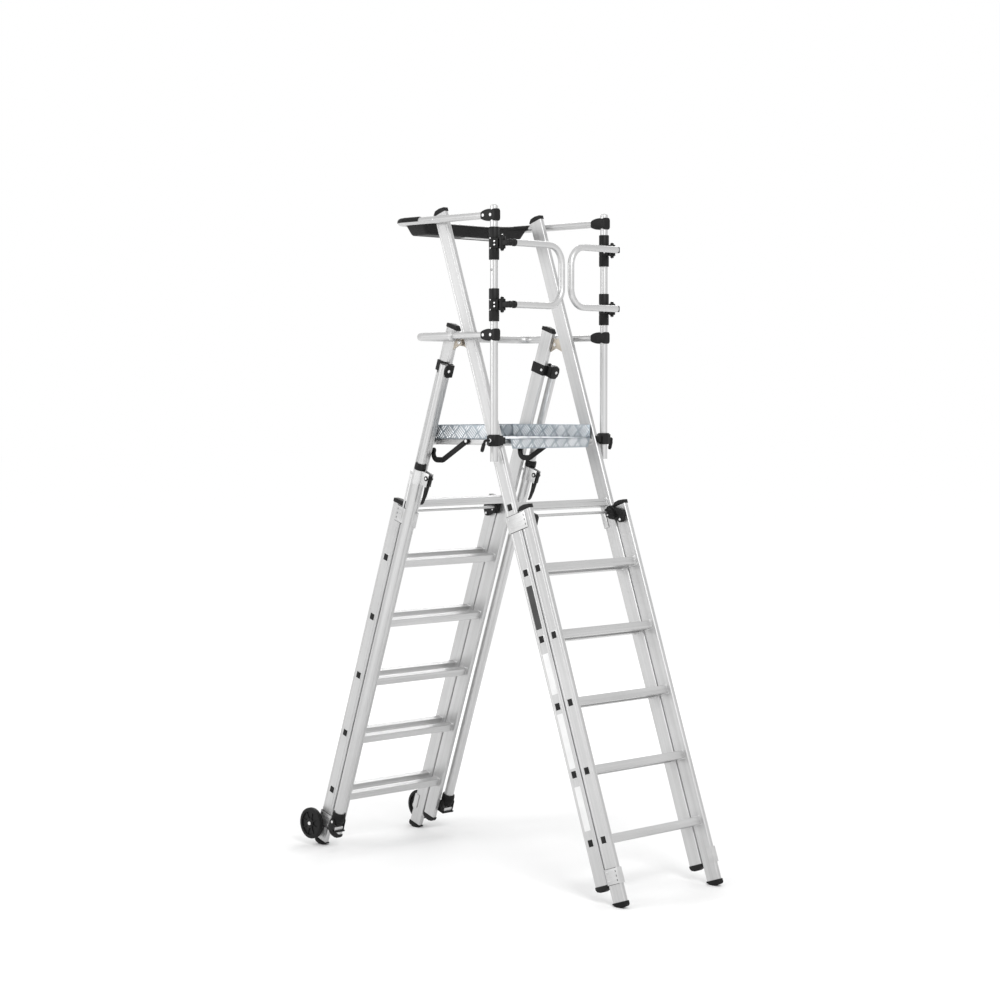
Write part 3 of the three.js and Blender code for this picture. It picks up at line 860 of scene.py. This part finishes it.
# The bars take the painted highlight finish.
bars = Shape(ROW)
for patch in PATCHES:
    checker(bars.mesh, *patch)
bars.done("checker_bars", HIGHLIT_BARS, "platform")

# %% [markdown]
# ## Hooks
# Each black hook hangs the back of the platform on the rear section's round rung. It is flat nylon with a
# curled tip, and turns on a white pin.

# %% Hooks and pins
HOOK_IN, HOOK_MID, HOOK_BEND = 258.5, 263.5, 26
for hand, side in HANDS:
    route = [(side * HOOK_MID, y, z) for y, z in ((-6, 1826), (138, 1745), (196, 1745), (196, 1786))]
    hook = Shape(ROW).sweep(bent(route, HOOK_BEND, 10), pill(5, 12, 4.6))
    boss = [(0, 0), (0, 13.4), (9, 13.4), (10, 12.4), (10, 0)]
    hook.turn(boss, (side * HOOK_IN, -6, 1826), (side, 0, 0), 28)
    hook.turn([(0, 0), (0, 12), (10, 12), (10, 0)], (side * HOOK_IN, 196, 1785), (side, 0, 0), 24)
    hook.done(f"hook_{hand}_bar", NYLON, f"hook_{hand}", [f"platform_hook_{hand}"])
    disc(ROW, f"hook_pin_{hand}", (side * 268, -6, 1827), (side, 0, 0), 7, 2.4, WHITE, f"hook_{hand}")

# %% [markdown]
# ## Guard posts
# A post is a round tube with a domed grey top. A black banded sleeve with screws holds each gate's knuckle.


# %% Posts and sleeves
POST_X, POST_Y, POST_R = 333, -240, 16
POST_LOW, POST_TOP, HOLE_Z = 1746, 2790, 2530
GATES = {"high": 2638.5, "low": 2387.5}


def on_post(side, z, y=POST_Y):
    return Vector((side * POST_X, y, z))


def banded_sleeve(shape, z, side):
    profile = [(-67, 16.5), (-67, 20.4), (-65, 21.4)]
    for mid in (-22.5, 22.5):
        profile += [(mid - 1.6, 21.4), (mid - 1, 20), (mid + 1, 20), (mid + 1.6, 21.4)]
    profile += [(65, 21.4), (67, 20.4), (67, 16.5)]
    shape.ring(profile, on_post(side, z), UP, 36)
    xs = (side * (POST_X - 10), side * (POST_X + 10))
    shape.box(xs, (POST_Y - 30, POST_Y - 15), (z - 22, z + 22), 2)


for hand, side in HANDS:
    wall = [(POST_LOW, POST_R), (POST_TOP, POST_R), (POST_TOP, POST_R - 2), (POST_LOW, POST_R - 2)]
    tube = Shape(ROW).ring(wall, on_post(side, 0), UP, 40)
    tube.done(f"guard_post_{hand}_tube", ALU_UP, FIXED, [f"guard_post_{hand}"])
    cap = [(-6, 15.8), (0, 16.4), (3, 16), (6, 13.2), (8, 9), (9, 4), (9.2, 0)]
    dome = Shape(ROW).turn(cap, on_post(side, POST_TOP - 1), UP, 36)
    dome.done(f"post_top_{hand}", SHEET, FIXED)
    sleeves, screws = Shape(ROW), Shape(ROW)
    for z in GATES.values():
        banded_sleeve(sleeves, z, side)
        for k in (-1, 1):
            out = Vector((-0.7, -0.7, 0))
            head = [(0, 3.8), (1.6, 3.6), (2.2, 2), (2.2, 0)]
            screws.turn(head, on_post(side, z + 7 * k) + out * 21, out, 16)
            outer = (side * (POST_X + 20.5), POST_Y, z + 20 * k)
            screws.turn([(0, 3.4), (2.6, 3.2), (3.2, 2), (3.2, 0)], outer, (side, 0, 0), 16)
    sleeves.done(f"gate_sleeves_{hand}", NYLON, FIXED)
    screws.done(f"sleeve_screws_{hand}", STEEL, FIXED)
    rim = [(-0.4, 3), (0.5, 3), (0.5, 5), (-0.4, 5)]
    hole = Shape(ROW).ring(rim, (side * (POST_X + 15.6), POST_Y, HOLE_Z), (side, 0, 0), 20)
    hole.done(f"post_hole_{hand}", NYLON, FIXED)

# %% [markdown]
# ## Foot clamps
# A black block grips each post beside the platform. An L-shaped handle, held by a white pin, turns to tighten
# it. The handle moves on its own body.

# %% Clamp blocks and handles
CLAMP_Z = 1833
for hand, side in HANDS:
    block = Shape(ROW)
    block.box((side * 302, side * 352), (-264, -216), (1812, 1853), 3)
    hoop = [(-24, 16.4), (-24, 23), (-21, 25), (21, 25), (24, 23), (24, 16.4)]
    block.ring(hoop, on_post(side, CLAMP_Z), UP, 32)
    block.box((side * 284, side * 304), (-258, -222), (1818, 1846), 2)
    block.done(f"clamp_block_{hand}", NYLON, FIXED)
    lever = f"clamp_lever_{hand}"
    disc(ROW, f"clamp_pin_{hand}", (side * 356, POST_Y, CLAMP_Z), (side, 0, 0), 7.5, 5, WHITE, lever)
    handle = Shape(ROW)
    elbow = (side * 386, POST_Y, CLAMP_Z)
    route = [(side * 360, POST_Y, CLAMP_Z), elbow, (side * 388, POST_Y + 16, CLAMP_Z - 46)]
    handle.tube(bent(route, 7, 6), 5.6, 20)
    grip = [(0, 5.6), (3, 7.6), (30, 8), (36, 6), (37, 0)]
    handle.turn(grip, (side * 386.8, POST_Y + 4, CLAMP_Z - 11), (side * 1.2, 12, -35), 20)
    handle.done(f"clamp_handle_{hand}", NYLON, lever, [lever])

# %% [markdown]
# ## Rail sockets
# The rails meet the posts in black sockets shaped like a bullet: a fork round the post, and a nose that
# takes the tube. Two white pins hold each one.


# %% Sockets with white pins
STATIONS = ((-258.5, 22.5), (-257, 25), (-216, 25), (-202, 23.6), (-190, 20.6), (-181, 17.6), (-176, 15.8))
TOP_RAIL_Z, MID_RAIL_Z = 2755, 2266
for hand, side in HANDS:
    for label, z in (("top", TOP_RAIL_Z), ("mid", MID_RAIL_Z)):
        rings = []
        for y, half in STATIONS:
            section = pill(min(half - 0.6, 17.5), half, min(half, 14) * 0.6)
            rings.append([(side * POST_X + a, y, z + b) for a, b in section])
        Shape(ROW).loops(rings).done(f"rail_socket_{label}_{hand}", NYLON, FIXED)
        for y in (-192, -235):
            name = f"socket_pin_{label}_{hand}_{-y}"
            disc(ROW, name, (side * (POST_X + 17), y, z), (side, 0, 0), 6.5, 2.6, WHITE, FIXED)

# %% [markdown]
# ## Guardrails
# Each rail is one tube bent round the back in a U. The lower one telescopes: its back part is a wider tube,
# with a ring collar where the two meet.


# %% Two bent rails
def u_route(z, back, bend, front):
    return bent([(-POST_X, front, z), (-POST_X, back, z), (POST_X, back, z), (POST_X, front, z)], bend, 12)


def u_rail(name, z, back, radius, bend, front=-180, nodes=()):
    tube = Shape(ROW).tube(u_route(z, back, bend, front), radius, 32)
    tube.done(name, ALU_BACK, FIXED, nodes)


TOP_BACK, TOP_BEND, MID_BACK, MID_BEND = 346, 42, 235, 60
BOLT_Y, COLLAR_Y = 112, 4
u_rail("top_rail_tube", TOP_RAIL_Z, TOP_BACK, 15, TOP_BEND, nodes=["top_guardrail"])
u_rail("mid_rail_tube", MID_RAIL_Z, MID_BACK, 14.4, MID_BEND, nodes=["mid_guardrail"])
u_rail("mid_rail_sleeve", MID_RAIL_Z, MID_BACK, 16.8, MID_BEND, front=14)
fasteners, collars, spacers = Shape(ROW), Shape(ROW), Shape(ROW)
for hand, side in HANDS:
    profile = [(-8, 14), (-8, 21), (-6.5, 23.5), (6.5, 23.5), (8, 21), (8, 14)]
    collars.ring(profile, on_post(side, MID_RAIL_Z, COLLAR_Y), BACK, 36)
    bolt = (side * (POST_X + 14), BOLT_Y, TOP_RAIL_Z)
    fasteners.turn([(0, 6), (2, 5.6), (3, 4), (3, 0)], bolt, (side, 0, 0), 24)
    for y, z in ((BOLT_Y, TOP_RAIL_Z), (COLLAR_Y, MID_RAIL_Z)):
        spacers.turn([(0, 0), (0, 9), (19, 9), (19, 0)], (side * 300.6, y, z), (side, 0, 0), 24)
collars.done("mid_rail_collars", SHEET, FIXED)
spacers.done("rail_spacers", SHEET, FIXED)
fasteners.done("rail_bolts", SHEET, FIXED)
print("with guardrails:", len(made))

# %% [markdown]
# ## Half gates
# Two sprung gates close the front of the platform. Each is one light tube bent to a D, with its ends in
# black knuckles on the sleeves. The knuckles have four soft lobes, like a moulded hinge.


# %% Gates
GATE_Y, GATE_START, GATE_END, GATE_R, GATE_BEND, GATE_AXIS = -332, 300, 28, 14, 78, -287
LOBE = [(-6, 5), (-6, 12), (-4, 14), (4, 14), (6, 12), (6, 5)]
BARREL = [(-20, 10), (-17, 12.5), (17, 12.5), (20, 10)]
BULB = [(0, 4), (2, 9), (8, 13.6), (16, 14.4), (22, 12), (27, 12), (31, 15.6), (40, 15.6), (41, 14)]
STOPPER = [(0, 13.8), (2, 12), (4, 4), (9, 2.6), (10, 0)]
for hand, side in HANDS:
    gate = f"gate_{hand}"
    start, end = side * (GATE_START + (6 if side < 0 else 12)), side * GATE_END
    high, low = GATES["high"], GATES["low"]
    corners = [(x, GATE_Y, z) for x, z in ((start, high), (end, high), (end, low), (start, low))]
    Shape(ROW).tube(bent(corners, GATE_BEND, 14), GATE_R, 32).done(f"{gate}_tube", ALU_ACROSS, gate, [gate])
    ends, pins = Shape(ROW), Shape(ROW)
    for z in GATES.values():
        for k in (-1, 1):
            ends.ring(LOBE, on_post(side, z + 18 * k, GATE_AXIS), UP, 28)
            ends.turn([(0, 8), (9, 7), (11, 0)], on_post(side, z + 22 * k, GATE_AXIS), (0, 0, k), 24)
            pins.turn([(0, 4.5), (2, 4), (2.4, 0)], on_post(side, z + 33 * k, GATE_AXIS), (0, 0, k), 18)
        ends.turn(BARREL, on_post(side, z, GATE_AXIS), UP, 28)
        ends.sweep([on_post(side, z, GATE_AXIS), (side * (POST_X - 4), GATE_Y + 6, z)], pill(9, 13, 5))
        if side < 0:
            ends.turn(BULB, (-346, GATE_Y, z), RIGHT, 32)
        else:
            ends.turn(STOPPER, (GATE_START + 11.5, GATE_Y, z), RIGHT, 28)
    ends.done(f"{gate}_knuckles", NYLON, gate)
    pins.done(f"{gate}_pins", STEEL, gate)

# %% [markdown]
# ## The tool tray
# The tray is a moulded shell with a rounded rim, hung between the rear ends of the top rail. It is open
# at the top, so its wall shows. A pale strip runs under its front edge.

# %% Tray shell and its lips
TRAY_Y, TRAY_LOW, TRAY_HIGH, TRAY_HALF = 262, 2701, 2749, 64
LOW, HIGH = TRAY_LOW, TRAY_HIGH
WALL = ((276, 54, LOW), (284, 58, LOW + 6), (312, 62, HIGH - 4), (317, TRAY_HALF, HIGH - 3))
RIM = ((317, TRAY_HALF, HIGH), (312, 60, HIGH), (275, 54, LOW + 6), (270, 50, LOW + 3.5))


def tray_ring(half_x, half_y, z):
    middle = TRAY_Y + (TRAY_HALF - half_y) / 2
    return [(x, middle + y, z) for x, y in pill(half_x, half_y, 20, 6)]


tray = Shape(ROW).loops([tray_ring(*ring) for ring in WALL + RIM])
for x in range(-240, 241, 60):
    tray.box((x - 1.5, x + 1.5), (TRAY_Y - 50, TRAY_Y + 50), (LOW + 3, LOW + 6), 0.6)
tray.done("tray_shell", TRAY_ABS, FIXED, ["tool_tray"])
strip = Shape(ROW).box((-60, 120), (212, 240), (LOW - 3.6, LOW + 0.4), 0.6)
strip.done("tray_under_strip", SHEET, FIXED)


def half_ring(low, high):
    arc = [math.radians(d) for d in range(-12, 193, 12)]
    inner = [(low * math.cos(a), -low * math.sin(a)) for a in arc]
    return inner + [(high * math.cos(a), -high * math.sin(a)) for a in reversed(arc)]


lips = Shape(ROW)
for hand, side in HANDS:
    inward = (side * (POST_X - 62), TOP_BACK, TOP_RAIL_Z)
    corners = [on_post(side, TOP_RAIL_Z, 202), on_post(side, TOP_RAIL_Z, TOP_BACK), inward]
    lips.sweep(bent(corners, TOP_BEND, 10), half_ring(14.6, 17.4))
    for k in range(12):
        y = 208 + 8 * k
        lips.sweep([on_post(side, TOP_RAIL_Z, y), on_post(side, TOP_RAIL_Z, y + 3.5)], half_ring(17, 18.2))
lips.done("tray_lips", NYLON, FIXED)
print("with gates and tray:", len(made))

# %% [markdown]
# ## Lock bars
# Each lower section has a lock bar between its stiles: a light rod that ends in two black latches. They turn
# on white pins, towards the rungs of the upper section.

# %% Lock bars
LATCH_N, LATCH_T, LATCH_PIVOT, LATCH_PIN = 26, -971, (78, -1019), (30, -985)
CLAW = [(17, -960), (21, -949), (30, -945), (46, -947), (54, -960), (84, -972), (102, -986), (105, -1000)]
CLAW += [(96, -1012), (84, -1030), (70, -1031), (60, -1018), (34, -1006), (17, -998)]
SPINE = [(18, -992), (50, -1004), (66, -1000), (60, -976), (42, -953), (19, -958)]
for section, axes in SECTIONS:
    rod = Shape(axes).tube([(-244, LATCH_N, LATCH_T), (244, LATCH_N, LATCH_T)], 6, 24)
    rod.done(f"{section}_lock_rod", ALU_ACROSS, f"{section}_lock", [f"{section}_lock_bar"])
    blocks, pins = Shape(axes), Shape(axes)
    for side in (-1, 1):
        blocks.across(CLAW, side * 256, side * 276, 2.4)
        blocks.across(SPINE, side * 240, side * 258, 2.4)
        inward = (-side, 0, 0)
        pins.turn([(0, 5.4), (2, 5), (3, 3), (3, 0)], (side * 256, *LATCH_PIVOT), inward, 20)
        pins.turn([(0, 3.6), (1.6, 3.2), (2, 0)], (side * 240, *LATCH_PIN), inward, 18)
    blocks.done(f"{section}_latches", NYLON, f"{section}_lock")
    pins.done(f"{section}_latch_pins", WHITE, f"{section}_lock")

# %% [markdown]
# ## Outriggers
# An outrigger is a telescopic leg beside each rear stile. At its top a black saddle holds it to the stile
# between two lugs. The outer tube ends above in a collar with a cam lever that clamps the inner tube, and
# below in a cup with a tilting shoe.

# %% Saddles and lugs
LEG_X, LEG_N, LEG_JOINT, LEG_END = 335, -42, -755, -2376
LUG = ((298, -336), (330, -338), (342, -326), (346, -308), (342, -290), (328, -280), (298, -283))


def on_leg(side, t):
    return (side * LEG_X, LEG_N, t)


for hand, side in HANDS:
    saddle = Shape(REAR)
    saddle.box((side * 275.4, side * 304.5), (-36.6, 36.6), (-333, -287), 2.2)
    for n in (-68, -24):
        lug = [(side * x, 0, t) for x, t in LUG]
        saddle.carry(lug, (0, n, 0), (0, n + 8.5, 0), 1.8)
    saddle.box((side * 298, side * 304.4), (-66, 10), (-334, -286), 2)
    saddle.done(f"outrigger_saddle_{hand}", NYLON, "rear_upper")
    for number, n in enumerate((-68, -24)):
        place = (side * 326, n + 0.4, -309)
        disc(REAR, f"saddle_pin_{hand}_{number}", place, (0, -1, 0), 6.5, 2.6, WHITE, "rear_upper")
    place = (side * 275.8, -24, -310)
    disc(REAR, f"saddle_side_pin_{hand}", place, (-side, 0, 0), 6, 2.4, WHITE, "rear_upper")

# %% Collar, cam lever and strap
CAM_X, CAM_N, CAM_T = 327, -97.5, -775.8
COLLAR = [(0, 18.3), (0, 24), (3, 25.4), (24, 24.6), (28, 22), (28, 18.3)]
CAM = [(-12, 4), (-12.5, -14), (-11, -44), (-8, -78), (-1, -110), (5, -121), (9, -119)]
CAM += [(6, -100), (5, -72), (7, -40), (11, -10), (11, 4), (5, 11), (-6, 11)]
for hand, side in HANDS:
    leg, lever_name = f"outrigger_leg_{hand}", f"outrigger_lever_{hand}"
    collar = Shape(REAR).ring(COLLAR, on_leg(side, LEG_JOINT + 1), UP, 36)
    collar.done(f"outrigger_collar_{hand}", NYLON, leg)
    hoop = [(-62, 22), (-62, 24.6), (0, 24.6), (0, 22)]
    clamp = Shape(REAR).ring(hoop, on_leg(side, LEG_JOINT), UP, 36)
    for k in (-1, 1):
        x = side * CAM_X + k * 13.4
        clamp.box((x - 1.2, x + 1.2), (CAM_N - 10, LEG_N - 16), (CAM_T - 36, CAM_T + 22), 0.8)
    clamp.done(f"outrigger_clamp_{hand}", SHEET, leg)
    outline = [(CAM_N + n, CAM_T + t) for n, t in CAM]
    lever = Shape(REAR).across(outline, side * (CAM_X - 6.5), side * (CAM_X + 6.5), 2)
    barrel = [(-17, 0), (-17, 10.5), (17, 10.5), (17, 0)]
    lever.turn(barrel, (side * CAM_X, CAM_N, CAM_T), RIGHT, 28)
    lever.done(f"outrigger_cam_{hand}", NYLON, lever_name, [lever_name])
    for k in (-1, 1):
        name = f"cam_pin_{hand}_{'in' if k == -side else 'out'}"
        place = (side * CAM_X + 16.8 * k, CAM_N, CAM_T)
        disc(REAR, name, place, (k, 0, 0), 5, 2.2, WHITE, lever_name)
    strap = Shape(REAR)
    strap.box((side * 345, side * 347), (-10, -2), (-1000, -778), 0.6)
    strap.box((side * 333, side * 348), (-26, -1), (-786, -772), 1.0)
    strap.done(f"outrigger_strap_{hand}", SHEET, leg)

# %% Outer tubes, cups and shoes
TUBE = [(LEG_END - 8, 22), (LEG_JOINT, 22), (LEG_JOINT, 19.6), (LEG_END - 8, 19.6)]
CUP = [(0, 0), (0, 26.6), (-2, 28), (-34, 28.6), (-48, 26.4), (-56, 20), (-59, 11), (-59.5, 0)]
RIDGE = [(-8, 27.5), (-9, 29.6), (-12, 29.6), (-13, 27.5)]
EAR = ((-16, -2459), (-15, -2414), (-8, -2404), (8, -2404), (15, -2414), (16, -2459))
for hand, side in HANDS:
    leg, shoe_body = f"outrigger_leg_{hand}", f"outrigger_shoe_{hand}"
    tube = Shape(REAR).ring(TUBE, on_leg(side, 0), UP, 40)
    tube.done(f"outrigger_tube_{hand}", ALU_REAR, leg, [f"outrigger_outer_{hand}"])
    cup = Shape(REAR).turn(CUP, on_leg(side, LEG_END), UP, 36)
    for k in range(3):
        cup.ring([(t - 8 * k, r) for t, r in RIDGE], on_leg(side, LEG_END), UP, 36)
    cup.done(f"outrigger_cup_{hand}", RUBBER, leg)
    shoe = Shape(REAR)
    mid = side * LEG_X
    for x in (mid - 32.2, mid + 32.2):
        shoe.across([(n + LEG_N, t) for n, t in EAR], x - 1.8, x + 1.8, 0.8)
    shoe.box((mid - 34, mid + 34), (LEG_N - 24, LEG_N + 24), (-2463, -2456), 2)
    shoe.done(f"shoe_frame_{hand}", NYLON, shoe_body, [shoe_body])
    pad = Shape(REAR).box((mid - 24, mid + 24), (LEG_N - 17, LEG_N + 17), (-2456.5, -2439), 1.5)
    pad.done(f"shoe_pad_{hand}", SHEET, shoe_body)
    place = (side * (LEG_X + 33.6), LEG_N, -2418)
    disc(REAR, f"shoe_pin_{hand}", place, (side, 0, 0), 6, 2.2, STEEL, shoe_body)

# %% [markdown]
# ## Wheels
# A wheel is a solid rubber tyre on a moulded disc, with eight ribs and a stepped hub. Ribs and hub are made,
# because from the side they are what is seen. A sheet bracket on the stile carries the pale axle.

# %% Wheels, brackets and axles
WHEEL_X, WHEEL_N, WHEEL_T = 332, 119.8, -2509.2
TREAD_HALF = [(-12.5, 53), (-12.5, 64), (-10, 68.4), (-5, 69.8)]
TREAD_RING = TREAD_HALF + [(-x, r) for x, r in reversed(TREAD_HALF)]
WEB = [(-7, 18), (-7, 54), (-9.5, 54), (-9.5, 56), (9.5, 56), (9.5, 54), (7, 54), (7, 18)]
HUB = [(-14, 9), (-14, 17), (-11, 22), (11, 22), (14, 17), (14, 9)]
AXLE = [(-31, 0), (-31, 8.4), (14.4, 8.4), (16.4, 7), (17, 0)]
BOSS = [(0, 8.3), (0, 14), (9, 13), (9, 8.3)]
RIBS, RIB_HALF = 8, 10.5
for hand, side in HANDS:
    wheel = f"wheel_{hand}"
    place = Vector((side * WHEEL_X, WHEEL_N, WHEEL_T))
    Shape(REAR).ring(TREAD_RING, place, RIGHT, 56).done(f"{wheel}_tyre", TYRE, wheel, [wheel])
    spokes = Shape(REAR).ring(WEB, place, RIGHT, 48).ring(HUB, place, RIGHT, 40)
    for k in range(RIBS):
        angle = math.tau * k / RIBS
        out = Vector((0, math.cos(angle), math.sin(angle)))
        aside = Vector((0, -math.sin(angle), math.cos(angle)))
        rib = [place + out * r + aside * w for r, w in ((20, -3), (55, -2), (55, 2), (20, 3))]
        spokes.carry(rib, (-RIB_HALF, 0, 0), (RIB_HALF, 0, 0), 0.8)
    spokes.done(f"{wheel}_disc", NYLON, wheel)
    outward = (side, 0, 0)
    Shape(REAR).turn(AXLE, place, outward, 28).done(f"axle_{hand}", WHITE, "rear_lower")
    outline = [(62, WHEEL_T + 4.5), (62, -2556), (92, -2556)] + arc(WHEEL_N, WHEEL_T, 16, -60, 17, 19)
    bracket = Shape(REAR).across(outline, side * 300.8, side * 304.4, 0.6)
    bracket.done(f"wheel_bracket_{hand}", SHEET, "rear_lower")
    boss = Shape(REAR).turn(BOSS, (side * 304, WHEEL_N, WHEEL_T), outward, 28)
    boss.done(f"axle_boss_{hand}", SHEET, "rear_lower")
print("pieces made:", len(made))

# %% [markdown]
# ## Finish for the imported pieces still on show
# The inner tubes of the outriggers are already the right shape, and only need a finish.

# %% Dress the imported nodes
for hand, _ in HANDS:
    inner_tube = frame["nodes"][f"outrigger_inner_{hand}"]
    inner_tube.data.materials.clear()
    inner_tube.data.materials.append(ALU_REAR.material)
    print("packed node dressed:", inner_tube.name)
